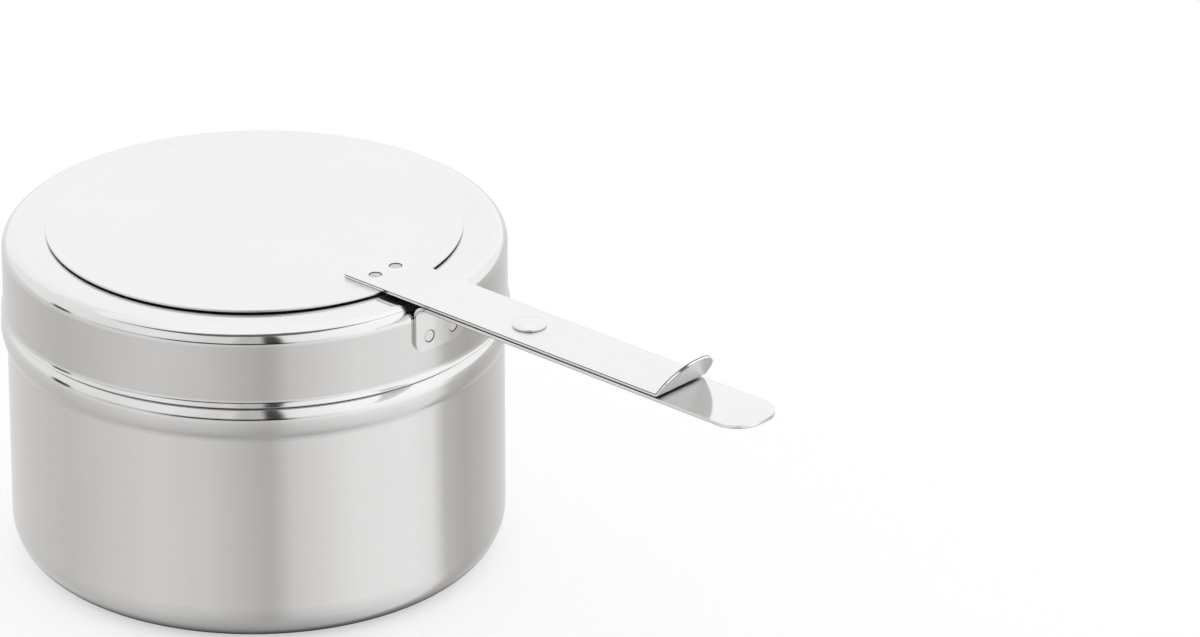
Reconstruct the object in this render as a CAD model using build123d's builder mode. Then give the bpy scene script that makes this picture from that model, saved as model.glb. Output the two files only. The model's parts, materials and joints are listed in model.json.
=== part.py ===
from build123d import *
import os
from math import asin, cos, degrees, radians, sin, tan

# Fuel holder for a chafing dish: a drawn cup, a slip-on cover with a handle, and a damper that swings over
# the flame. Lengths are millimetres and angles degrees. The base's centre is the origin, and the handle
# points along +X.

# Cup, one drawn sheet with a stop bead rolled into its wall
cup_diameter = 87.9
cup_sheet = 0.6
base_corner = 8.0
wall_height = 39.95
bead_rise = 1.05
swell_foot = 1.25
swell_round = 2.8
shoulder_round = 2.43
shoulder_foot = 0.36
neck_height = 11.61

# Cover, one pressed ring whose skirt slips over the neck and ends in a flared lip above the bead
cover_sheet = 0.5
cover_clearance = 0.1
cover_headroom = 2.3
cover_corner = 2.8
ring_width = 14.55
lip_gap = 0.31
lip_height = 1.25
lip_rise = 0.4

# Damper disc that snuffs the flame
disc_overlap = 6.8
disc_sheet = 0.5
disc_gap = 0.25

# Strip stock that the handle and the damper's arm are cut from
strip_width = 12.0
strip_sheet = 0.6
swivel_gap = 0.2
pivot_reach = 21.25

# Handle, bent down at its inner end and welded to the skirt
handle_tail = 53.5
tail_flat = 2.0
flange_clearance = 4.15
flange_bend = 1.7
flange_corner = 2.0
flange_gap = 0.05

# Damper strip, lapped onto the disc at one end and bent up into a thumb tab at the other
damper_lap = 9.5
damper_corner = 0.8
damper_tail = 34.8
tab_straight = 0.72
tab_angle = 55.0
tab_bend = 0.9
tab_flat = 0.2

# Rivet that the damper swings on
rivet_diameter = 3.2
rivet_fit = 0.02
rivet_clearance = 0.05
rivet_play = 0.05
rivet_head_overhang = 1.4
rivet_head_edge = 0.35
rivet_head_dome = 0.5
rivet_tail_overhang = 0.9
rivet_tail_edge = 0.2
rivet_tail_dome = 0.4

# Spot welds, pressed into the strips as shallow round dimples
weld_diameter = 2.4
weld_depth = 0.12
disc_weld_inset = 4.5
disc_weld_spacing = 5.1
flange_weld_rise = 2.6
flange_weld_spacing = 6.0

# Heights and radii that follow from the sizes above
cup_radius = cup_diameter / 2
bead_radius = cup_radius + bead_rise
bead_swell = swell_foot + swell_round
bead_shoulder = shoulder_round + shoulder_foot
bead_crest = wall_height + bead_swell
bead_top = bead_crest + bead_shoulder
cup_height = bead_top + neck_height

skirt_inside = cup_radius + cover_clearance
skirt_radius = skirt_inside + cover_sheet
lip_radius = skirt_radius + lip_rise
lip_bottom = bead_top + lip_gap
lip_top = lip_bottom + lip_height
cover_top = cup_height + cover_headroom + cover_sheet
flame_hole_radius = skirt_radius - ring_width

disc_radius = flame_hole_radius + disc_overlap
disc_bottom = cover_top + disc_gap
damper_bottom = disc_bottom + disc_sheet
damper_top = damper_bottom + strip_sheet
damper_end = disc_radius - damper_lap
pivot_distance = skirt_radius + pivot_reach
tab_start = pivot_distance + damper_tail
tab_curve = tab_bend + strip_sheet
tab_length = tab_curve * tan(radians(tab_angle / 2)) + tab_straight + strip_width / 2
tab_corner = (strip_width - tab_flat) / 2

handle_top = damper_bottom - swivel_gap
handle_bottom = handle_top - strip_sheet
handle_tip = pivot_distance + handle_tail
tail_corner = (strip_width - tail_flat) / 2
handle_blank = handle_tip + strip_width
flange_inside = skirt_radius + flange_gap
flange_outside = flange_inside + strip_sheet
flange_bottom = lip_top + flange_clearance
flange_drop = handle_top - flange_bottom

rivet_radius = rivet_diameter / 2
rivet_head_radius = rivet_radius + rivet_head_overhang
rivet_head_bottom = damper_top + rivet_play
rivet_head_shoulder = rivet_head_bottom + rivet_head_edge
rivet_head_top = rivet_head_shoulder + rivet_head_dome
rivet_tail_radius = rivet_radius + rivet_tail_overhang
rivet_tail_shoulder = handle_bottom - rivet_tail_edge
rivet_tail_bottom = rivet_tail_shoulder - rivet_tail_dome
pivot_plane = Plane(origin=(pivot_distance, 0, 0), x_dir=(1, 0, 0), z_dir=(0, -1, 0))
pivot_axis = Axis((pivot_distance, 0, 0), (0, 0, 1))

# A ball of this radius leaves a dimple of the weld's width and depth
weld_radius = weld_diameter / 2
weld_ball = (weld_radius**2 + weld_depth**2) / (2 * weld_depth)
disc_weld_place = damper_end + disc_weld_inset
flange_weld_height = flange_bottom + flange_weld_rise
flange_weld_angle = degrees(asin(flange_weld_spacing / 2 / flange_outside))

os.makedirs("parts", exist_ok=True)

# Cup: the outside line runs from the base's centre up to the rim, and the sheet lies inside it.
# The bead is two S-curves, each a pair of arcs that turn equally far and so meet on the curve's chord.
swell_middle = (cup_radius + bead_rise * swell_foot / bead_swell, wall_height + swell_foot)
shoulder_middle = (cup_radius + bead_rise * shoulder_foot / bead_shoulder, bead_crest + shoulder_round)
with BuildPart() as cup:
    with BuildSketch(Plane.XZ):
        with BuildLine():
            base = Line((0, 0), (cup_radius - base_corner, 0))
            corner = TangentArc(base @ 1, (cup_radius, base_corner), tangent=base % 1)
            wall = Line(corner @ 1, (cup_radius, wall_height))
            rising = TangentArc(wall @ 1, swell_middle, tangent=wall % 1)
            swell = TangentArc(rising @ 1, (bead_radius, bead_crest), tangent=rising % 1)
            shoulder = TangentArc(swell @ 1, shoulder_middle, tangent=swell % 1)
            neck_foot = TangentArc(shoulder @ 1, (cup_radius, bead_top), tangent=shoulder % 1)
            Line(neck_foot @ 1, (cup_radius, cup_height))
            offset(amount=cup_sheet, side=Side.LEFT)
        make_face()
    revolve(axis=Axis.Z)
cup.part.label = "cup"
export_step(cup.part, "parts/cup.step")

# Cover ring: flat top, rounded corner and skirt, whose lower edge curves out into a short lip
with BuildPart() as cover_ring:
    with BuildSketch(Plane.XZ):
        with BuildLine():
            top = Line((flame_hole_radius, cover_top), (skirt_radius - cover_corner, cover_top))
            bend = TangentArc(top @ 1, (skirt_radius, cover_top - cover_corner), tangent=top % 1)
            skirt = Line(bend @ 1, (skirt_radius, lip_top))
            TangentArc(skirt @ 1, (lip_radius, lip_bottom), tangent=skirt % 1)
            offset(amount=cover_sheet, side=Side.RIGHT)
        make_face()
    revolve(axis=Axis.Z)
cover_ring.part.label = "cover_ring"
export_step(cover_ring.part, "parts/cover_ring.step")

# Damper disc: a flat round blank
with BuildPart() as damper_disc:
    with BuildSketch(Plane.XY.offset(disc_bottom)):
        Circle(disc_radius)
    extrude(amount=disc_sheet)
damper_disc.part.label = "damper_disc"
export_step(damper_disc.part, "parts/damper_disc.step")

# Handle: a bent blank is turned about the cup's axis, so its flange fits the skirt, and is then cut to the
# strip's width and length
with BuildPart() as handle:
    with BuildSketch(Plane.XZ):
        with BuildLine():
            FilletPolyline(
                (flange_inside, flange_bottom),
                (flange_inside, handle_top),
                (handle_blank, handle_top),
                radius=flange_bend + strip_sheet,
            )
            offset(amount=strip_sheet, side=Side.RIGHT)
        make_face()
    revolve(axis=Axis.Z)
    with BuildSketch(Plane.XY.offset(flange_bottom)):
        with Locations((handle_tip / 2, 0)):
            Rectangle(handle_tip, strip_width)
    extrude(amount=flange_drop, mode=Mode.INTERSECT)
    fillet(handle.edges().filter_by(Axis.X).group_by(Axis.Z)[0], flange_corner)
    fillet(handle.edges().filter_by(Axis.Z).group_by(Axis.X)[-1], tail_corner)
    with Locations((pivot_distance, 0, handle_top)):
        Hole(rivet_radius + rivet_fit)
    with Locations((0, 0, flange_weld_height)):
        with PolarLocations(
            flange_outside + weld_ball - weld_depth,
            2,
            start_angle=-flange_weld_angle,
            angular_range=2 * flange_weld_angle,
            endpoint=True,
        ):
            Sphere(weld_ball, mode=Mode.SUBTRACT)
handle.part.label = "handle"
export_step(handle.part, "parts/handle.step")

# Damper strip: its underside runs flat from over the disc to the tab, then turns up
tab_run = tab_length * cos(radians(tab_angle))
tab_rise = tab_length * sin(radians(tab_angle))
with BuildPart() as damper_strip:
    with BuildSketch(Plane.XZ):
        with BuildLine():
            FilletPolyline(
                (damper_end, damper_bottom),
                (tab_start, damper_bottom),
                (tab_start + tab_run, damper_bottom + tab_rise),
                radius=tab_curve,
            )
            offset(amount=strip_sheet, side=Side.LEFT)
        make_face()
    extrude(amount=strip_width / 2, both=True)
    with BuildSketch(Plane.XY.offset(damper_bottom)):
        with Locations((pivot_distance, 0)):
            Circle(rivet_radius + rivet_clearance)
    extrude(amount=strip_sheet, mode=Mode.SUBTRACT)
    with Locations((disc_weld_place, 0, damper_top + weld_ball - weld_depth)):
        with GridLocations(0, disc_weld_spacing, 1, 2):
            Sphere(weld_ball, mode=Mode.SUBTRACT)
    fillet(damper_strip.edges().filter_by(Axis.Z).group_by(Axis.X)[0], damper_corner)
    tab_end = damper_strip.faces().sort_by(Axis.X)[-1]
    fillet(tab_end.edges().filter_by(Axis.Y, reverse=True), tab_corner)
damper_strip.part.label = "damper_strip"
export_step(damper_strip.part, "parts/damper_strip.step")

# Pivot rivet: a low domed head over the damper strip, a plain shank, and a closed head under the handle
with BuildPart() as pivot_rivet:
    with BuildSketch(pivot_plane):
        with BuildLine():
            dome = TangentArc((0, rivet_head_top), (rivet_head_radius, rivet_head_shoulder), tangent=(1, 0))
            tail_edge = (rivet_tail_radius, rivet_tail_shoulder)
            closing = TangentArc((0, rivet_tail_bottom), tail_edge, tangent=(1, 0))
            Polyline(
                dome @ 1,
                (rivet_head_radius, rivet_head_bottom),
                (rivet_radius, rivet_head_bottom),
                (rivet_radius, handle_bottom),
                (rivet_tail_radius, handle_bottom),
                closing @ 1,
            )
            Line(closing @ 0, dome @ 0)
        make_face()
    revolve(axis=pivot_axis)
pivot_rivet.part.label = "pivot_rivet"
export_step(pivot_rivet.part, "parts/pivot_rivet.step")
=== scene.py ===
# %% [markdown]
# # A fuel holder for a chafing dish, finished in stainless steel
# The object is a small burner cup. A can of gel fuel stands in it, a round cover slips over its neck,
# and a damper disc swings over the hole in the cover to snuff the flame. Everything is thin sheet
# steel, so almost all of the look comes from smooth sections, tight edges and what the metal mirrors.
# The solids are already made at their real size. This lesson draws a smooth piece over each one, gives
# it a finish, and sets up a small white studio.

# %% Load the solids and keep their box
import bpy
import json
from math import asin, atan2, cos, degrees, pi, radians, sin, sqrt
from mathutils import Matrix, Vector


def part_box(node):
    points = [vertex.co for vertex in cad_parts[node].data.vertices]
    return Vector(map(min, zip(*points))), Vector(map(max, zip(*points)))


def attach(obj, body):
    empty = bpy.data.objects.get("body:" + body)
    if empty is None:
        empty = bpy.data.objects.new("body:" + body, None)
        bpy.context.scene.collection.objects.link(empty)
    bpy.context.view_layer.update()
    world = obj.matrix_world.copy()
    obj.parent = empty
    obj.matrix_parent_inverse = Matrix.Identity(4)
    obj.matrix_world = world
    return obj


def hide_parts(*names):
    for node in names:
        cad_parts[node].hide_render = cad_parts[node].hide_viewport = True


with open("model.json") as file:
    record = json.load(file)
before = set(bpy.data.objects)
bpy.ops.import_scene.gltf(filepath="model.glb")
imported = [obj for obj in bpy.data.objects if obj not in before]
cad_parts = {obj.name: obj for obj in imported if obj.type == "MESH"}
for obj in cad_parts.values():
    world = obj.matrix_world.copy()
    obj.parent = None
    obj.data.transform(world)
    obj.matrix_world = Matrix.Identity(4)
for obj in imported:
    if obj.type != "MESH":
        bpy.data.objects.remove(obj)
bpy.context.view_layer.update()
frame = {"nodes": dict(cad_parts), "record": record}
mm = 0.001
scene = bpy.context.scene
scene.view_settings.view_transform = "Standard"
print("nodes:", ", ".join(sorted(frame["nodes"])))

# %% [markdown]
# ## The camera
# The photograph is taken with a long lens from a little above, so the round top is a flat ellipse and
# lines hardly converge. The camera could be placed by eye, but four numbers were measured from the
# round outlines and the handle: how far round it stands, how high, how far away, and how many pixels
# its focal length is. The object stands left of the middle, so the camera is turned, with its horizon
# level, until the cup's middle falls on its own pixel.

# %% Place the camera
photo_width = 1200
photo_height = 637
camera_round = radians(44.67)
camera_height = radians(25.2)
camera_distance = 1.6
focal_pixels = 9011
aim_point = Vector((0, 0, 30 * mm))
towards_camera = Vector((
    sin(camera_round) * cos(camera_height),
    -cos(camera_round) * cos(camera_height),
    sin(camera_height),
))

bpy.ops.object.select_all(action="DESELECT")
bpy.ops.object.camera_add(location=aim_point + camera_distance * towards_camera)
camera = bpy.context.object
camera.data.sensor_width = 36
camera.data.lens = focal_pixels * camera.data.sensor_width / photo_width
scene.camera = camera
print("lens: %.1f mm" % camera.data.lens)

# %% Aim the camera
aim_pixel = (257.3, 387.1)
aim_turns = 6
look_at = aim_point.copy()
for turn in range(aim_turns):
    camera.rotation_euler = (look_at - camera.location).to_track_quat("-Z", "Y").to_euler()
    bpy.context.view_layer.update()
    seen = camera.matrix_world.inverted() @ aim_point
    miss_right = focal_pixels * seen.x / -seen.z - (aim_pixel[0] - photo_width / 2)
    miss_up = focal_pixels * seen.y / -seen.z - (photo_height / 2 - aim_pixel[1])
    step = Vector((miss_right, miss_up, 0)) * camera_distance / focal_pixels
    look_at += camera.matrix_world.to_3x3() @ step
print("aim missed by %.3f pixels" % max(abs(miss_right), abs(miss_up)))

# %% [markdown]
# ## A white room to mirror
# Polished steel has no colour of its own to speak of: it shows the room. The photograph seems to be
# taken in a white tent over a pale table, whose seams and gaps draw the thin dark lines and spots along
# every round edge. The tent could be built from panels, but they would stand in the way of other
# cameras, so it is painted on the world, by heading and height. Heading nought is the camera's side,
# and headings grow to the right of it. Walls and a ceiling come first, with the slit that the camera
# looks through, whose left flank is pale. Then come a seam overhead, a seam where the walls meet the
# table, a dark corner at the far left, and the table. Only mirrors see all that: the camera sees plain
# white, and matt surfaces get a plain even light.

# %% Turn each direction into a heading and a height
def add_node(tree, kind, inputs=None, **settings):
    """A node with its settings made and its inputs filled in or linked."""
    node = tree.nodes.new(kind)
    for name, value in settings.items():
        setattr(node, name, value)
    for name, value in (inputs or {}).items():
        if isinstance(value, bpy.types.NodeSocket):
            tree.links.new(value, node.inputs[name])
        else:
            node.inputs[name].default_value = value
    return node


def calculate(tree, operation, *values):
    """The result of one Math node."""
    return add_node(tree, "ShaderNodeMath", dict(enumerate(values)), operation=operation).outputs[0]


studio = bpy.data.worlds.new("studio")
scene.world = studio
studio.use_nodes = True
tree = studio.node_tree
tree.nodes.clear()
direction = add_node(tree, "ShaderNodeTexCoord").outputs["Generated"]
camera_heading = atan2(towards_camera.y, towards_camera.x)
turn_back = {"Vector": direction, "Angle": -camera_heading}
turned = add_node(tree, "ShaderNodeVectorRotate", turn_back, rotation_type="Z_AXIS").outputs[0]
part = add_node(tree, "ShaderNodeSeparateXYZ", {0: turned}).outputs
heading = calculate(tree, "ARCTAN2", part["Y"], part["X"])
beside = calculate(tree, "ABSOLUTE", heading)
height = calculate(tree, "ARCSINE", part["Z"])
print("heading nought: %.2f degrees round from X" % degrees(camera_heading))

# %% Hang the wall panels
panel_warmth = (1.0, 1.05, 1.1)
wall_panels = [
    (-180, 1.04), (-100, 0.95), (-70, 0.92), (-42, 1.00), (-18, 0.80), (12, 0.98), (26, 1.06),
    (42, 1.16), (80, 1.19), (105, 1.12), (180, 1.04),
]


def ramp(tree, value, start, end, low=0.0, high=1.0, smooth=True):
    """A rise from low to high as the value goes from start to end, smooth or straight."""
    inputs = {"Value": value, "From Min": start, "From Max": end, "To Min": low, "To Max": high}
    course = "SMOOTHSTEP" if smooth else "LINEAR"
    return add_node(tree, "ShaderNodeMapRange", inputs, interpolation_type=course).outputs[0]


def panel_ring(tree, heading, panels):
    """The light of a ring of panels, given as (degrees round, light), a little warm where it is dim."""
    ring = add_node(tree, "ShaderNodeValToRGB", {0: ramp(tree, heading, -pi, pi, smooth=False)})
    stops = ring.color_ramp.elements
    for degrees_round, light in panels:
        place = (degrees_round + 180) / 360
        # A new ramp already has a stop at each end
        stop = {0: stops[0], 1: stops[-1]}.get(place) or stops.new(place)
        stop.color = (*(light**warmth for warmth in panel_warmth), 1)
    return ring.outputs["Color"]


walls = panel_ring(tree, heading, wall_panels)
print("walls: %d panels" % (len(wall_panels) - 1))

# %% Cut the slit and close the ceiling
slit_flank = (radians(-13), radians(-6))
slit_flank_depth = 0.35
slit_left = (radians(2), radians(4))
slit_right = (radians(10), radians(13))
slit_top = (radians(56), radians(64))
slit_shade = 0.05
ceiling_edge = (radians(62), radians(70))
ceiling_light = 1.05


def grey(level):
    """A plain grey of that level."""
    return (level, level, level, 1)


def blend(tree, share, first, second):
    """A mix of two colours, with that share of the second."""
    # Of the Mix node's many sockets, inputs 6 and 7 and output 2 are the ones for colours
    return add_node(tree, "ShaderNodeMix", {0: share, 6: first, 7: second}, data_type="RGBA").outputs[2]


def product(tree, value, *shares):
    """A value multiplied by each share in turn."""
    for share in shares:
        value = calculate(tree, "MULTIPLY", value, share)
    return value


flank = ramp(tree, heading, *slit_flank, 0.0, slit_flank_depth)
core = ramp(tree, heading, *slit_left, 0.0, 1.0 - slit_flank_depth)
slit = product(
    tree,
    calculate(tree, "ADD", flank, core),
    ramp(tree, heading, *slit_right, 1.0, 0.0),
    ramp(tree, height, *slit_top, 1.0, 0.0),
)
walls = blend(tree, slit, walls, grey(slit_shade))
walls = blend(tree, ramp(tree, height, *ceiling_edge), walls, grey(ceiling_light))
slit_width = slit_right[0] - slit_left[1]
print("slit: %.0f degrees of dark, %.0f high" % (degrees(slit_width), degrees(slit_top[0])))

# %% Draw the seam overhead
top_seam = radians(63.3)
top_seam_middle = radians(20)
top_seam_reach = radians(100)
top_seam_drop = radians(14)
top_seam_width = (radians(8.4), radians(0.9))
top_seam_narrows = (radians(15), radians(90))
top_seam_edge = (1.0, 1.3)
top_seam_starts = (radians(-100), radians(-75))
top_seam_ends = (radians(100), radians(130))

off_middle = calculate(tree, "SUBTRACT", heading, top_seam_middle)
droop = calculate(tree, "POWER", calculate(tree, "DIVIDE", off_middle, top_seam_reach), 2.0)
seam_height = calculate(tree, "SUBTRACT", top_seam, calculate(tree, "MULTIPLY", droop, top_seam_drop))
seam_width = ramp(tree, beside, *top_seam_narrows, *top_seam_width)
off_seam = calculate(tree, "ABSOLUTE", calculate(tree, "SUBTRACT", height, seam_height))
upper_seam = product(
    tree,
    ramp(tree, calculate(tree, "DIVIDE", off_seam, seam_width), *top_seam_edge, 1.0, 0.0),
    ramp(tree, heading, *top_seam_starts),
    ramp(tree, heading, *top_seam_ends, 1.0, 0.0),
)
print("seam overhead: %.1f degrees up" % degrees(top_seam))

# %% Draw the table's seam and the tent's corner
seam_softness = radians(1.5)
seam_shade = 0.03
table_seam_width = radians(3.8)
table_seam_thins = (radians(22), radians(55))
table_seam_thinned = 0.4
table_seam_ends = (radians(60), radians(105))
table_seam_pales = (radians(8), radians(20))
table_seam_paled = 0.3
tent_corner = radians(-94)
tent_corner_width = radians(2.5)
tent_corner_softness = radians(6)
tent_corner_middle = radians(2)
tent_corner_height = radians(3.5)
tent_corner_fade = radians(3)


def band(tree, value, middle, half_width, softness):
    """One inside a band of values, nought outside it, with soft sides."""
    away = calculate(tree, "ABSOLUTE", calculate(tree, "SUBTRACT", value, middle))
    return ramp(tree, away, half_width, half_width + softness, 1.0, 0.0)


table_seam = product(
    tree,
    band(tree, height, 0.0, table_seam_width, seam_softness),
    ramp(tree, beside, *table_seam_thins, 1.0, table_seam_thinned),
    ramp(tree, beside, *table_seam_ends, 1.0, 0.0),
    ramp(tree, heading, *table_seam_pales, 1.0, table_seam_paled),
)
corner = product(
    tree,
    band(tree, heading, tent_corner, tent_corner_width, tent_corner_softness),
    band(tree, height, tent_corner_middle, tent_corner_height, tent_corner_fade),
)
seams = calculate(tree, "MAXIMUM", calculate(tree, "MAXIMUM", upper_seam, table_seam), corner)
seams = ramp(tree, seams, 0.0, 1.0, 1.0, seam_shade)
print("seam at the table: %.1f degrees high" % degrees(2 * table_seam_width))

# %% Paint the table
table_panels = [
    (-180, 0.83), (-132, 0.73), (-98, 0.66), (-48, 0.80), (-24, 0.74), (4, 0.555), (7, 0.585), (15, 0.75),
    (46, 0.96), (74, 1.01), (87, 0.95), (96, 0.62), (112, 0.53), (146, 0.71), (180, 0.83),
]
straight_down = radians(-90)
wall_mirrors = -camera_height
drawn_in = 0.385
under_blend = (radians(-86), radians(-52))
under_light = 0.62
foot_light = 0.665
far_light = 1.10
far_glow_start = radians(-25)
far_glow = 0.10


def scaled(tree, colour, amount):
    """A colour times an amount."""
    inputs = {0: colour, "Scale": amount}
    return add_node(tree, "ShaderNodeVectorMath", inputs, operation="SCALE").outputs[0]


narrowing = ramp(tree, height, straight_down, wall_mirrors, drawn_in, 1.0, smooth=False)
table = panel_ring(tree, calculate(tree, "MULTIPLY", heading, narrowing), table_panels)
table = blend(tree, ramp(tree, height, *under_blend), grey(under_light), table)
falloff = ramp(tree, height, straight_down, 0.0, foot_light, far_light, smooth=False)
falloff = calculate(tree, "ADD", falloff, ramp(tree, height, far_glow_start, 0.0, 0.0, far_glow))
table = scaled(tree, table, falloff)
print("table: %d panels" % (len(table_panels) - 1))

# %% Join the tent and show it to mirrors only
plain_light = 0.62
white_light = 1.0

over_table = ramp(tree, height, -seam_softness, seam_softness)
tent = scaled(tree, blend(tree, over_table, table, walls), seams)
ray = add_node(tree, "ShaderNodeLightPath").outputs
mirrored = calculate(tree, "MAXIMUM", ray["Is Glossy Ray"], ray["Is Transmission Ray"])
lit = blend(tree, mirrored, grey(plain_light), tent)
shown = blend(tree, ray["Is Camera Ray"], lit, grey(white_light))
background = add_node(tree, "ShaderNodeBackground", {"Color": shown}).outputs[0]
add_node(tree, "ShaderNodeOutputWorld", {"Surface": background})
print("world: %d nodes" % len(tree.nodes))

# %% [markdown]
# ## Soft lamps and a pale floor
# One large soft lamp hangs behind the object and one above it. They throw a soft shadow forwards, and
# add a little light to the flat tops, which mirror the back of the tent. A sun would do for a shadow,
# but a hard one. The floor is pale paint, and for the camera a little glow tops it up to the white of
# the background, so only the shadow shows. Metal looks straight through it to the table that is painted
# on the world, apart from a small dark patch where the cup stands, which draws the shade along the
# cup's foot.

# %% Hang the lamps
def soft_lamp(name, place, size, glow):
    """A soft lamp of that width and height, aimed at the cup, that shows as that glow in a mirror."""
    bpy.ops.object.select_all(action="DESELECT")
    bpy.ops.object.light_add(type="AREA", location=place)
    lamp = bpy.context.object
    lamp.name = name
    lamp.rotation_euler = (aim_point - Vector(place)).to_track_quat("-Z", "Y").to_euler()
    lamp.data.shape = "RECTANGLE"
    lamp.data.size = size[0]
    lamp.data.size_y = size[1]
    lamp.data.energy = glow * pi * size[0] * size[1]
    lamp.visible_camera = False
    print("%s: %.1f W" % (name, lamp.data.energy))


back_lamp_distance = 1.5
back_lamp_height = 0.85
top_lamp_height = 1.6
behind = -towards_camera.xy.normalized()
back_place = (behind.x * back_lamp_distance, behind.y * back_lamp_distance, back_lamp_height)
soft_lamp("back_lamp", back_place, size=(2.6, 1.5), glow=0.09)
soft_lamp("top_lamp", (0, 0, top_lamp_height), size=(2.2, 2.2), glow=0.12)

# %% Lay the floor
floor_width = 12
floor_drop = 0.05 * mm
bpy.ops.object.select_all(action="DESELECT")
bpy.ops.mesh.primitive_plane_add(size=floor_width, location=(0, 0, -floor_drop))
floor = bpy.context.object
floor.name = "floor"
print("floor: %.0f m wide, %.2f mm under the cup" % (floor_width, floor_drop / mm))

# %% Paint the floor
floor_paint = 0.72
floor_glow = 0.515
foot_glow = 0.02
foot_edge = (38.5 * mm, 43.5 * mm)
paint = bpy.data.materials.new("pale_floor")
paint.use_nodes = True
tree = paint.node_tree
tree.nodes.clear()
ray = add_node(tree, "ShaderNodeLightPath").outputs
matt = add_node(tree, "ShaderNodeBsdfDiffuse", {"Color": grey(floor_paint)}).outputs[0]
strength = calculate(tree, "MULTIPLY", ray["Is Camera Ray"], floor_glow)
glow = add_node(tree, "ShaderNodeEmission", {"Strength": strength}).outputs[0]
white = add_node(tree, "ShaderNodeAddShader", {0: matt, 1: glow}).outputs[0]

place = add_node(tree, "ShaderNodeTexCoord").outputs["Object"]
reach = add_node(tree, "ShaderNodeVectorMath", {0: place}, operation="LENGTH").outputs["Value"]
dark_foot = add_node(tree, "ShaderNodeEmission", {"Strength": foot_glow}).outputs[0]
see_through = add_node(tree, "ShaderNodeBsdfTransparent").outputs[0]
past_foot = ramp(tree, reach, *foot_edge)
for_metal = add_node(tree, "ShaderNodeMixShader", {0: past_foot, 1: dark_foot, 2: see_through}).outputs[0]
mirrored = calculate(tree, "MAXIMUM", ray["Is Glossy Ray"], ray["Is Transmission Ray"])
surface = add_node(tree, "ShaderNodeMixShader", {0: mirrored, 1: white, 2: for_metal}).outputs[0]
add_node(tree, "ShaderNodeOutputMaterial", {"Surface": surface})
floor.data.materials.append(paint)
print("floor: paint %.2f, glow %.2f" % (floor_paint, floor_glow))

# %% [markdown]
# ## The steel
# Stainless sheet is bright grey and a little warm. The cup and the cover were turned against a
# polishing belt, so fine lines run round them, and the metal blurs what it mirrors up and down but
# hardly sideways. A picture of scratches could give that, but here noise is stretched round the axis,
# and the shader's own anisotropy does the blur. Flat stock has the straight grain of the rolling mill:
# satin on the disc and the damper strip, and almost a mirror on the handle. A sheared edge has a
# burnished band, where the blade slid, and dark torn lines, where the metal broke. The burnished band
# is made brighter than steel is, as a painted highlight, and the torn lines are nearly black, part
# torn metal and part painted shade. A near-black steel paints the shade inside the cup and the cover,
# and a darker copy of the drawn steel paints shade on the skirt. The welds on the damper strip are
# mottled by heat.

# %% Lines for the grain
round_stretch = 0.004
straight_stretch = (0.03, 1.0, 1.0)


def round_lines(tree, place):
    """Points that hardly change on the way round the axis, so that noise on them draws lines round it."""
    part = add_node(tree, "ShaderNodeSeparateXYZ", {0: place}).outputs
    turn = calculate(tree, "ARCTAN2", part["Y"], part["X"])
    along = calculate(tree, "MULTIPLY", turn, round_stretch)
    level = add_node(tree, "ShaderNodeCombineXYZ", {"X": part["X"], "Y": part["Y"]}).outputs[0]
    reach = add_node(tree, "ShaderNodeVectorMath", {0: level}, operation="LENGTH").outputs["Value"]
    return add_node(tree, "ShaderNodeCombineXYZ", {"X": along, "Y": reach, "Z": part["Z"]}).outputs[0]


def straight_lines(tree, place):
    """Points that hardly change along X, so that noise on them draws lines along the strips."""
    return add_node(tree, "ShaderNodeMapping", {"Vector": place, "Scale": straight_stretch}).outputs[0]


print("grain: lines are drawn out %.0f times along the strips" % (1 / straight_stretch[0]))

# %% Mix a steel
line_scale = 6500.0
line_detail = 3.0
line_share = 0.6
line_depth = 0.01 * mm
cloud_scale = 45.0
cloud_detail = 2.0
noise_range = (0.3, 0.7)
across_lines = 0.25


def noise(tree, place, scale, detail):
    """A noise pattern of that scale and detail."""
    inputs = {"Vector": place, "Scale": scale, "Detail": detail}
    return add_node(tree, "ShaderNodeTexNoise", inputs).outputs["Fac"]


def steel(name, colour, roughness, spread, grain, draw_lines=straight_lines, blur=0.0, dimmest=0.96):
    """Bright sheet steel. Spread is how far its roughness varies, grain how deep its fine lines are."""
    finish = bpy.data.materials.new(name)
    finish.use_nodes = True
    tree = finish.node_tree
    tree.nodes.clear()
    place = add_node(tree, "ShaderNodeTexCoord").outputs["Object"]
    lines = noise(tree, draw_lines(tree, place), line_scale, line_detail)
    clouds = noise(tree, place, cloud_scale, cloud_detail)
    line_part = calculate(tree, "MULTIPLY", lines, line_share)
    cloud_part = calculate(tree, "MULTIPLY", clouds, 1.0 - line_share)
    mixed = calculate(tree, "ADD", line_part, cloud_part)
    rough = ramp(tree, mixed, *noise_range, roughness - spread, roughness + spread)
    darker = [dimmest * level for level in colour]
    tint = blend(tree, ramp(tree, mixed, *noise_range), (*darker, 1), (*colour, 1))
    lift = {"Height": lines, "Strength": grain, "Distance": line_depth}
    bump = add_node(tree, "ShaderNodeBump", lift).outputs[0]
    sheen = {"Base Color": tint, "Metallic": 1.0, "Roughness": rough, "Anisotropic": blur, "Normal": bump}
    shader = add_node(tree, "ShaderNodeBsdfPrincipled", sheen)
    if blur:
        tangent = add_node(tree, "ShaderNodeTangent", direction_type="RADIAL", axis="Z").outputs[0]
        tree.links.new(tangent, shader.inputs["Tangent"])
        shader.inputs["Anisotropic Rotation"].default_value = across_lines
    add_node(tree, "ShaderNodeOutputMaterial", {"Surface": shader.outputs[0]})
    print("finish:", name)
    return finish


# %% Steels with a round grain
polish = {"spread": 0.02, "grain": 0.012, "draw_lines": round_lines, "blur": 0.4}
dull = {"spread": 0.05, "grain": 0.3, "draw_lines": round_lines, "blur": 0.5}
drawn_steel = steel("drawn_steel", (0.79, 0.785, 0.78), roughness=0.11, **polish)
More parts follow.
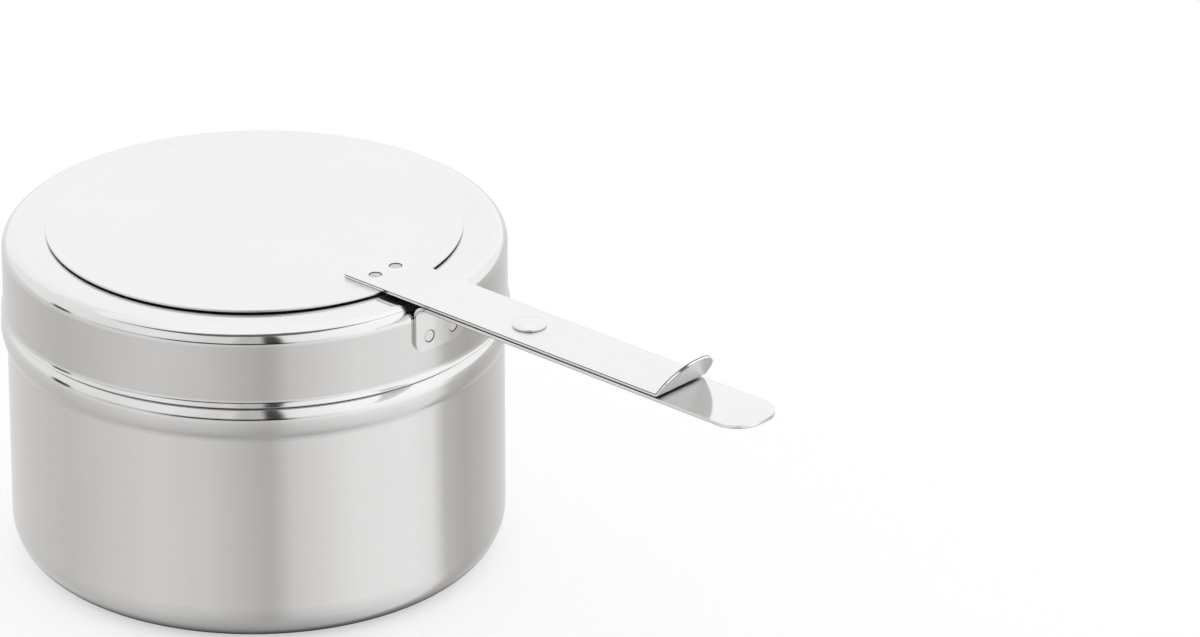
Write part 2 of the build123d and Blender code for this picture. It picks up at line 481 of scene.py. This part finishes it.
# A darker copy of the drawn steel for the skirt: painted shade
shaded_skirt_steel = steel("shaded_skirt_steel", (0.73, 0.725, 0.72), roughness=0.12, **polish)
# A near-black steel for the insides, the cover's rims and the crease: painted shade
shaded_inside_steel = steel("shaded_inside_steel", (0.15, 0.148, 0.145), roughness=0.38, **dull)

# %% Steels with a straight grain
rolled_steel = steel("rolled_steel", (0.82, 0.815, 0.81), roughness=0.34, spread=0.03, grain=0.008)
mirror_steel = steel("mirror_steel", (0.80, 0.795, 0.79), roughness=0.11, spread=0.02, grain=0.008)
# Brighter than steel is: a painted highlight on the burnished band
burnished_highlight_steel = steel("burnished_highlight_steel", (0.97, 0.965, 0.96), roughness=0.16, spread=0.03, grain=0.02)
# Near black: torn metal and painted shade along the strips' edges
torn_and_shaded_steel = steel("torn_and_shaded_steel", (0.09, 0.089, 0.087), roughness=0.35, spread=0.05, grain=0.1)
weld_steel = steel("weld_steel", (0.76, 0.75, 0.74), roughness=0.24, spread=0.05, grain=0.1, dimmest=0.35)
headed_steel = steel("headed_steel", (0.80, 0.795, 0.79), roughness=0.22, spread=0.03, grain=0.02)

# %% [markdown]
# ## The cup
# The cup is one deep-drawn sheet: a flat base, a round lower corner, a straight wall, a bead rolled
# into the wall to stop the cover, and a plain neck. A cylinder could be scaled ring by ring, but a
# turned piece is easier to draw as a section. One vertex is extruded from point to point up the
# outside, the line is spun round the axis, and Solidify gives the sheet its thickness on the inside.
# The inside gets a near-black steel, which is painted shade, and so does the crease at the neck's
# foot, as painted shade under the cover's lip.

# %% Draw the cup's section
mounts = frame["record"]["mounts"]
cup_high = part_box("cup")[1]
cup_radius = next(mount["dims"]["r_mm"] for mount in mounts if mount["name"] == "cup_wall") * mm
bead_radius = cup_high.y
base_corner = 8.0 * mm
wall_top = 39.95 * mm
swell_meeting = 41.2 * mm
bead_crest = 44.0 * mm
shoulder_meeting = 46.43 * mm
bead_top = 46.79 * mm
crease_top = 48.1 * mm


def arc(middle, radius, start, end, steps):
    """Points on a round stretch of a section, as (reach from the axis, height). Angles are degrees."""
    turns = [radians(start + (end - start) * i / steps) for i in range(steps + 1)]
    return [(middle[0] + radius * cos(a), middle[1] + radius * sin(a)) for a in turns]


def s_curve(low, high, meeting, steps):
    """An S between two upright runs: two arcs that turn equally far and meet at the given height."""
    aside = high[0] - low[0]
    rise = high[1] - low[1]
    # The two radii add up to this, and share it as the arcs share the rise
    both = (aside**2 + rise**2) / (2 * aside)
    lower = both * (meeting - low[1]) / rise
    upper = both - lower
    turns = [2 * atan2(abs(aside), rise) * i / steps for i in range(steps + 1)]
    first = [(low[0] + lower * (1 - cos(a)), low[1] + abs(lower) * sin(a)) for a in turns]
    second = [(high[0] - upper * (1 - cos(a)), high[1] - abs(upper) * sin(a)) for a in turns[:-1]]
    return first + second[::-1]


outside = [(0, 0)]
outside += arc((cup_radius - base_corner, base_corner), base_corner, -90, 0, steps=20)
outside += s_curve((cup_radius, wall_top), (bead_radius, bead_crest), swell_meeting, steps=10)
outside += s_curve((bead_radius, bead_crest), (cup_radius, bead_top), shoulder_meeting, steps=12)[1:]
outside += [(cup_radius, crease_top), (cup_radius, cup_high.z)]
print("cup's section: %d points, %.1f mm tall" % (len(outside), outside[-1][1] / mm))

# %% Spin the section round the axis
round_steps = 192
merge_reach = 0.001 * mm


def new_point(name, place):
    """A piece that is one vertex: a small plane, merged to its middle. It is left in edit mode."""
    bpy.ops.object.select_all(action="DESELECT")
    bpy.ops.mesh.primitive_plane_add(size=mm)
    piece = bpy.context.object
    piece.name = name
    bpy.ops.object.mode_set(mode="EDIT")
    bpy.ops.mesh.select_mode(type="VERT")
    bpy.ops.mesh.merge(type="CENTER")
    bpy.ops.transform.translate(value=place)
    return piece


def extrude_by(way):
    """Extrudes what is selected by that way."""
    bpy.ops.mesh.extrude_region_move(TRANSFORM_OT_translate={"value": way})


def merge_points():
    """Merges the points of the piece in edit mode that lie on each other."""
    bpy.ops.mesh.select_all(action="SELECT")
    bpy.ops.mesh.remove_doubles(threshold=merge_reach)


def face_outwards():
    """Turns every face of the piece in edit mode outwards, and leaves edit mode."""
    bpy.ops.mesh.select_all(action="SELECT")
    bpy.ops.mesh.normals_make_consistent(inside=False)
    bpy.ops.object.mode_set(mode="OBJECT")


def turn_section(name, section, axis_x=0.0, steps=round_steps):
    """Draws a section point by point and spins it into a round piece."""
    line = [Vector((axis_x + reach, 0, level)) for reach, level in section]
    piece = new_point(name, line[0])
    for start, end in zip(line, line[1:]):
        extrude_by(end - start)
    merge_points()
    bpy.ops.mesh.spin(steps=steps, angle=2 * pi, center=(axis_x, 0, 0), axis=(0, 0, 1))
    merge_points()
    face_outwards()
    print("%s: %d faces spun" % (name, len(piece.data.polygons)))
    return piece


drawn_cup = turn_section("drawn_cup", outside)

# %% Give the cup its thickness
cup_sheet = 0.6 * mm
rim_round = 0.15 * mm
sharp_turn = radians(35)
flat_turn = radians(32)
inwards = -1
outside_slot = 0
painted_shade_slot = 1


def give_finishes(piece, *finishes):
    """Gives a piece its finishes, one slot after another."""
    for finish in finishes:
        piece.data.materials.append(finish)


def apply_modifier(piece, kind, **settings):
    """Adds a modifier, sets it and applies it."""
    bpy.ops.object.select_all(action="DESELECT")
    piece.select_set(True)
    bpy.context.view_layer.objects.active = piece
    bpy.ops.object.modifier_add(type=kind)
    modifier = piece.modifiers[-1]
    for name, value in settings.items():
        setattr(modifier, name, value)
    bpy.ops.object.modifier_apply(modifier=modifier.name)


def thicken(piece, sheet, side, back_slot, rim_slot):
    """Makes a surface a sheet of metal, to one side, with slots for its new side and for its rim."""
    apply_modifier(
        piece,
        "SOLIDIFY",
        thickness=sheet,
        offset=side,
        use_even_offset=True,
        material_offset=back_slot,
        material_offset_rim=rim_slot,
    )


def round_edges(piece, width):
    """Rounds every sharp edge a little, then shades the piece smooth with its flat faces kept flat."""
    apply_modifier(
        piece, "BEVEL", width=width, segments=3, limit_method="ANGLE", angle_limit=sharp_turn, material=0
    )
    bpy.ops.object.shade_smooth_by_angle(angle=flat_turn)
    apply_modifier(piece, "WEIGHTED_NORMAL", mode="FACE_AREA", weight=50, keep_sharp=True)
    print("%s: %d faces with its edges rounded" % (piece.name, len(piece.data.polygons)))


give_finishes(drawn_cup, drawn_steel, shaded_inside_steel)
# The inside gets the near-black steel: painted shade
thicken(drawn_cup, cup_sheet, inwards, back_slot=painted_shade_slot, rim_slot=outside_slot)
round_edges(drawn_cup, rim_round)

# %% Paint shade into the crease and fit the cup
def select_only(piece, kind, test):
    """Selects, in edit mode, the vertices, edges or faces whose points or middle pass the test."""
    bpy.context.view_layer.objects.active = piece
    bpy.ops.object.mode_set(mode="EDIT")
    bpy.ops.mesh.select_mode(type=kind)
    bpy.ops.mesh.select_all(action="DESELECT")
    bpy.ops.object.mode_set(mode="OBJECT")
    points = [vertex.co.copy() for vertex in piece.data.vertices]
    if kind == "VERT":
        for vertex in piece.data.vertices:
            vertex.select = test(vertex.co)
    elif kind == "EDGE":
        for edge in piece.data.edges:
            edge.select = all(test(points[end]) for end in edge.vertices)
    else:
        for face in piece.data.polygons:
            face.select = test(face.center)
    bpy.ops.object.mode_set(mode="EDIT")


def finish_faces(piece, slot, test):
    """Gives the faces whose middle passes the test the finish in that slot."""
    select_only(piece, "FACE", test)
    piece.active_material_index = slot
    bpy.ops.object.material_slot_assign()
    bpy.ops.object.mode_set(mode="OBJECT")


def fit_piece(piece, node, body):
    """Puts a finished piece in the place of its solid and tells how closely it fills the solid's box."""
    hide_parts(node)
    low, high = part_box(node)
    misses = []
    for side in range(3):
        reaches = [corner[side] for corner in piece.bound_box]
        misses += [abs(min(reaches) - low[side]), abs(max(reaches) - high[side])]
    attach(piece, body)
    print("%s: %.3f mm off its solid's box" % (piece.name, max(misses) / mm))


# The crease under the cover's lip gets the near-black steel: painted shade
finish_faces(drawn_cup, painted_shade_slot, lambda p: shoulder_meeting < p.z < crease_top)
fit_piece(drawn_cup, "cup", "cup")

# %% [markdown]
# ## The cover
# The cover is a pressed ring: a flat top with the flame hole, a round corner, and a skirt that slips
# over the cup's neck. The skirt's lower edge is flared into a short lip, which guides the cover onto
# the neck. A disc could be extruded downwards, but the cover is made as the cup is: the outside is
# drawn and spun, and Solidify adds the sheet inside it. The inside and the rims get the near-black
# steel of painted shade, which also darkens the gap under the lip. The skirt's faces get a darker
# copy of the drawn steel, as painted shade for the darker reflections on the skirt.

# %% Draw and spin the cover
cover_low, cover_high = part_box("cover_ring")
cover_sheet = 0.5 * mm
cover_clearance = 0.1 * mm
skirt_inside = cup_radius + cover_clearance
skirt_radius = skirt_inside + cover_sheet
cover_corner = 2.8 * mm
hole_radius = 30.0 * mm
lip_rise = cover_high.y - skirt_radius
lip_height = 1.25 * mm

corner_middle = (skirt_radius - cover_corner, cover_high.z - cover_corner)
lip_radius = (lip_rise**2 + lip_height**2) / (2 * lip_rise)
lip_turn = 2 * atan2(lip_rise, lip_height)
lip_top = cover_low.z + (lip_radius + cover_sheet) * sin(lip_turn)
lip_middle = (skirt_radius + lip_radius, lip_top)
outside = [(hole_radius, cover_high.z)]
outside += arc(corner_middle, cover_corner, 90, 0, steps=16)
outside += arc(lip_middle, lip_radius, 180, 180 + degrees(lip_turn), steps=8)
pressed_cover = turn_section("pressed_cover", outside)

# %% Give the cover its thickness and its finishes
cover_edge = 0.1 * mm
skirt_slot = 2
skirt_reach = (skirt_radius + skirt_inside) / 2


def on_skirt(point):
    """Whether a face's middle lies on the outside of the skirt."""
    return lip_top < point.z < corner_middle[1] and point.xy.length > skirt_reach


give_finishes(pressed_cover, drawn_steel, shaded_inside_steel, shaded_skirt_steel)
# The cover's inside and rims get the near-black steel: painted shade, which blackens the gap under the
# lip
thicken(pressed_cover, cover_sheet, inwards, back_slot=painted_shade_slot, rim_slot=painted_shade_slot)
round_edges(pressed_cover, cover_edge)
# The skirt gets the darker copy of the drawn steel: painted shade
finish_faces(pressed_cover, skirt_slot, on_skirt)
fit_piece(pressed_cover, "cover_ring", "cover")

# %% [markdown]
# ## The damper disc
# The disc is a flat round blank, punched from sheet. A flat cylinder would do too, but a filled circle
# that is extruded by the sheet's thickness is how the press makes it: an outline, pushed through the
# sheet. Its two edges are rounded as those of a deburred punching are.

# %% Punch the disc
disc_low, disc_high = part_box("damper_disc")
disc_edge = 0.2 * mm
bpy.ops.object.select_all(action="DESELECT")
bpy.ops.mesh.primitive_circle_add(
    vertices=round_steps, radius=disc_high.y, fill_type="NGON", location=(0, 0, disc_low.z)
)
snuffer_disc = bpy.context.object
snuffer_disc.name = "snuffer_disc"
bpy.ops.object.transform_apply(location=True)
bpy.ops.object.mode_set(mode="EDIT")
extrude_by((0, 0, disc_high.z - disc_low.z))
face_outwards()
round_edges(snuffer_disc, disc_edge)
give_finishes(snuffer_disc, rolled_steel)
fit_piece(snuffer_disc, "damper_disc", "damper")

# %% [markdown]
# ## The handle
# The handle is a steel strip with a rounded tail. Its inner end is bent down and spot-welded to the
# cover's skirt, so that flange is curved to fit the skirt. A cube could be cut to this shape, but a
# strip is bent from flat stock, and so is this one. The sheet is drawn flat, with the tail's corners
# bevelled. The bend is spun about its own axis, the flange is extruded, and its columns are slid back
# until they follow the skirt. Then Solidify makes the sheet a strip, and its rim is cut into rows: a
# bright band, made brighter as a painted highlight, and near-black lines, part torn metal and part
# painted shade.

# %% Cut the handle's blank
handle_low, handle_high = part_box("handle")
strip_sheet = 0.6 * mm
strip_width = handle_high.y - handle_low.y
flange_gap = 0.05 * mm
flange_bend = 1.7 * mm
tail_flat = 2.0 * mm
flange_inside = skirt_radius + flange_gap
bend_radius = flange_bend + strip_sheet
bend_start = flange_inside + bend_radius
tail_corner = (strip_width - tail_flat) / 2
round_end_steps = 24
hair = 0.01 * mm


def near(value, target):
    """Whether two measures are the same to within a hair."""
    return abs(value - target) < hair


def new_sheet(name, near_end, far_end, width, level):
    """A flat face from one end to the other along X, left in edit mode."""
    bpy.ops.object.select_all(action="DESELECT")
    bpy.ops.mesh.primitive_plane_add(size=1)
    piece = bpy.context.object
    piece.name = name
    bpy.ops.object.mode_set(mode="EDIT")
    bpy.ops.transform.resize(value=(far_end - near_end, width, 1))
    bpy.ops.transform.translate(value=((near_end + far_end) / 2, 0, level))
    return piece


handle_blade = new_sheet("handle_blade", bend_start, handle_high.x, strip_width, handle_high.z)
select_only(handle_blade, "VERT", lambda p: near(p.x, handle_high.x))
bpy.ops.mesh.bevel(offset=tail_corner, segments=round_end_steps, affect="VERTICES")
print("handle's blank: %.2f by %.2f mm" % ((handle_high.x - bend_start) / mm, strip_width / mm))

# %% Bend the handle's flange
flange_cuts = 5
bend_end = handle_high.z - bend_radius
select_only(handle_blade, "EDGE", lambda p: near(p.x, bend_start))
bpy.ops.mesh.subdivide(number_cuts=flange_cuts)
select_only(handle_blade, "EDGE", lambda p: near(p.x, bend_start))
bpy.ops.mesh.spin(steps=10, angle=pi / 2, center=(bend_start, 0, bend_end), axis=(0, 1, 0))
select_only(handle_blade, "EDGE", lambda p: near(p.z, bend_end))
extrude_by((0, 0, handle_low.z - bend_end))
merge_points()
bpy.ops.object.mode_set(mode="OBJECT")
print("flange: %.2f mm deep" % ((bend_end - handle_low.z) / mm))

# %% Curve the flange to the skirt
flange_corner = 2.0 * mm
bent = [vertex.co.copy() for vertex in handle_blade.data.vertices if vertex.co.x < bend_start + hair]
columns = sorted({round(point.y / mm, 3) * mm for point in bent})
for column in columns:
    slide = sqrt(flange_inside**2 - column**2) - flange_inside
    select_only(handle_blade, "VERT", lambda p: near(p.y, column) and p.x < bend_start + hair)
    bpy.ops.transform.translate(value=(slide, 0, 0))
select_only(handle_blade, "VERT", lambda p: near(p.z, handle_low.z) and near(abs(p.y), strip_width / 2))
bpy.ops.mesh.bevel(offset=flange_corner, segments=8, affect="VERTICES")
face_outwards()
print("flange: %d columns, the outer ones slid back by %.2f mm" % (len(columns), -slide / mm))

# %% Make the sheet a strip with a sheared rim
rim_rows = 7
outwards = 1
flat_slot = 0
torn_and_shade_slot = 1
bright_slot = 2


def edges_of(piece, slot):
    """The faces that have the finish in that slot, each by its number and its edges."""
    faces = [face for face in piece.data.polygons if face.material_index == slot]
    return {face.index: set(face.edge_keys) for face in faces}


def make_strip(piece, upwards, flat_finish):
    """Thickens a sheet upwards or downwards and cuts its rim into rows, each side in its own slot."""
    widest = max(piece.data.polygons, key=lambda face: face.area)
    side = outwards if (widest.normal.z > 0) == upwards else inwards
    give_finishes(piece, flat_finish, torn_and_shaded_steel, burnished_highlight_steel)
    thicken(piece, strip_sheet, side, back_slot=bright_slot, rim_slot=torn_and_shade_slot)
    # No edge passes this test, so it only clears the selection and turns to edges
    select_only(piece, "EDGE", lambda p: False)
    bpy.ops.object.mode_set(mode="OBJECT")
    flat = set().union(*edges_of(piece, flat_slot).values(), *edges_of(piece, bright_slot).values())
    # An edge that no flat side has runs across the rim
    for edge in piece.data.edges:
        edge.select = edge.key not in flat
    bpy.ops.object.mode_set(mode="EDIT")
    bpy.ops.mesh.subdivide(number_cuts=rim_rows - 1)
    bpy.ops.object.mode_set(mode="OBJECT")


def finish_rim(piece, torn_and_shaded_rows):
    """Makes a strip's rim a painted highlight, apart from the near-black rows of torn metal and painted
    shade, counted from its upper side.
    """
    broad = sorted(piece.data.polygons, key=lambda face: face.area)[-2:]
    top = max(broad, key=lambda face: face.center.z).material_index
    rim = edges_of(piece, torn_and_shade_slot)
    above = set().union(*edges_of(piece, top).values())
    for face in piece.data.polygons:
        face.material_index = bright_slot if face.index in rim else flat_slot
    for row in range(rim_rows):
        reached = [face for face, edges in rim.items() if edges & above]
        above = set().union(*(rim.pop(face) for face in reached))
        if row in torn_and_shaded_rows:
            for face in reached:
                piece.data.polygons[face].material_index = torn_and_shade_slot
    print("%s: rim of %d rows, torn rows %s" % (piece.name, rim_rows, torn_and_shaded_rows))


make_strip(handle_blade, False, mirror_steel)
finish_rim(handle_blade, torn_and_shaded_rows=(6,))

# %% Punch the handle's rivet hole
joints = frame["record"]["behaviour"]["joints"]
pivot = Vector(next(joint["pos_m"] for joint in joints if joint["name"] == "damper_swing"))
handle_hole = 1.62 * mm
hole_depth = 2 * mm
upright = (0, 0, 1)


def punch(piece, place, towards, low_radius, high_radius, depth, finish):
    """Takes a round plug out of a piece, to that depth under a place: a hole, or a spot weld's dimple."""
    bpy.ops.object.select_all(action="DESELECT")
    bpy.ops.mesh.primitive_cone_add(vertices=48, radius1=low_radius, radius2=high_radius, depth=2 * depth)
    plug = bpy.context.object
    plug.rotation_euler = Vector(towards).to_track_quat("Z", "Y").to_euler()
    plug.location = place
    bpy.ops.object.transform_apply(location=True, rotation=True)
    give_finishes(plug, finish, torn_and_shaded_steel)
    # A plug's sides get the near-black steel, which also draws a dark ring round each weld
    for face in plug.data.polygons:
        is_side = len(face.vertices) == 4
        face.material_index = 1 if is_side else 0
    apply_modifier(
        piece, "BOOLEAN", object=plug, operation="DIFFERENCE", solver="EXACT", material_mode="TRANSFER"
    )
    bpy.data.objects.remove(plug)
    print("%s: a plug %.2f mm across taken out" % (piece.name, (low_radius + high_radius) / mm))


punch(handle_blade, pivot, upright, handle_hole, handle_hole, hole_depth, torn_and_shaded_steel)

# %% Press the flange's welds and fit the handle
weld_radius = 1.2 * mm
weld_slope = 0.2 * mm
weld_depth = 0.12 * mm
weld_floor = weld_radius - weld_slope
weld_mouth = weld_radius + weld_slope
flange_weld_aside = 3.0 * mm
flange_weld_rise = 2.6 * mm
flange_outside = flange_inside + strip_sheet
strip_edge = 0.02 * mm

for aside in (-flange_weld_aside, flange_weld_aside):
    from_axis = Vector((sqrt(flange_outside**2 - aside**2), aside, 0))
    weld_place = from_axis + Vector((0, 0, handle_low.z + flange_weld_rise))
    punch(handle_blade, weld_place, from_axis, weld_floor, weld_mouth, weld_depth, rolled_steel)
round_edges(handle_blade, strip_edge)
fit_piece(handle_blade, "handle", "cover")

# %% [markdown]
# ## The damper strip
# The damper strip is the same stock, lying on the handle. Its inner end laps onto the disc, and its
# tail is bent up into a thumb tab with a round end. The tab could be a piece of its own, but the real
# one is bent, so the strip is drawn by its underside: a flat run, the tab's bend, spun about its axis,
# and the tab, whose end is rounded by bevelling its two corners.

# %% Bend the damper strip
strip_low, strip_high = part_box("damper_strip")
inner_corner = 0.8 * mm
tab_turn = radians(55)
tab_bend = 0.9 * mm
tab_straight = 0.72 * mm
tab_flat = 0.2 * mm
tab_curve = tab_bend + strip_sheet
tab_length = tab_straight + strip_width / 2
tab_corner = (strip_width - tab_flat) / 2
tab_way = Vector((tab_length * cos(tab_turn), 0, tab_length * sin(tab_turn)))
tab_start = strip_high.x - tab_way.x - tab_curve * sin(tab_turn)

damper_blade = new_sheet("damper_blade", strip_low.x, tab_start, strip_width, strip_low.z)
select_only(damper_blade, "VERT", lambda p: near(p.x, strip_low.x))
bpy.ops.mesh.bevel(offset=inner_corner, segments=6, affect="VERTICES")
select_only(damper_blade, "EDGE", lambda p: near(p.x, tab_start))
bpy.ops.mesh.spin(steps=8, angle=tab_turn, center=(tab_start, 0, strip_low.z + tab_curve), axis=(0, 1, 0))
extrude_by(tab_way)
select_only(damper_blade, "VERT", lambda p: near(p.x, strip_high.x))
bpy.ops.mesh.bevel(offset=tab_corner, segments=round_end_steps, affect="VERTICES")
merge_points()
face_outwards()
make_strip(damper_blade, True, rolled_steel)
# The lowest row paints the shade under the strip, the top two rows a dark line along its upper edge
finish_rim(damper_blade, torn_and_shaded_rows=(0, 1, 6))

# %% Punch the damper strip's hole, press its welds and fit it
damper_hole = 1.65 * mm
disc_weld_inset = 4.5 * mm
disc_weld_aside = 2.55 * mm
damper_top = strip_low.z + strip_sheet

punch(damper_blade, pivot, upright, damper_hole, damper_hole, hole_depth, torn_and_shaded_steel)
for aside in (-disc_weld_aside, disc_weld_aside):
    weld_place = (strip_low.x + disc_weld_inset, aside, damper_top)
    punch(damper_blade, weld_place, upright, weld_floor, weld_mouth, weld_depth, weld_steel)
round_edges(damper_blade, strip_edge)
fit_piece(damper_blade, "damper_strip", "damper")

# %% [markdown]
# ## The rivet
# A solid rivet holds the two strips together and lets the damper swing. Its head is a low dome, and its
# tail was hammered into a smaller one under the handle. A squashed ball on a cylinder would come close,
# but the rivet is a turned piece, so its half section is drawn and spun about its own axis.

# %% Turn the rivet
rivet_low, rivet_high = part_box("pivot_rivet")
head_radius = rivet_high.x - pivot.x
head_play = 0.05 * mm
head_under = damper_top + head_play
head_edge = 0.35 * mm
shank_radius = 1.6 * mm
tail_radius = 2.5 * mm
tail_top = handle_high.z - strip_sheet
tail_edge = 0.2 * mm
rivet_edge = 0.08 * mm


def dome(radius, edge, crown, steps):
    """Half the section of a low dome, from its edge to its crown on the axis."""
    rise = crown - edge
    ball = (radius**2 + rise**2) / (2 * rise)
    lean = degrees(asin(radius / abs(ball)))
    if rise > 0:
        return arc((0, crown - ball), ball, 90 - lean, 90, steps)
    return arc((0, crown - ball), -ball, -90 + lean, -90, steps)


section = dome(tail_radius, tail_top - tail_edge, rivet_low.z, steps=6)[::-1]
section += [(tail_radius, tail_top), (shank_radius, tail_top)]
section += [(shank_radius, head_under), (head_radius, head_under)]
section += dome(head_radius, head_under + head_edge, rivet_high.z, steps=8)
swivel_rivet = turn_section("swivel_rivet", section, pivot.x, steps=64)
round_edges(swivel_rivet, rivet_edge)
give_finishes(swivel_rivet, headed_steel)
fit_piece(swivel_rivet, "pivot_rivet", "cover")
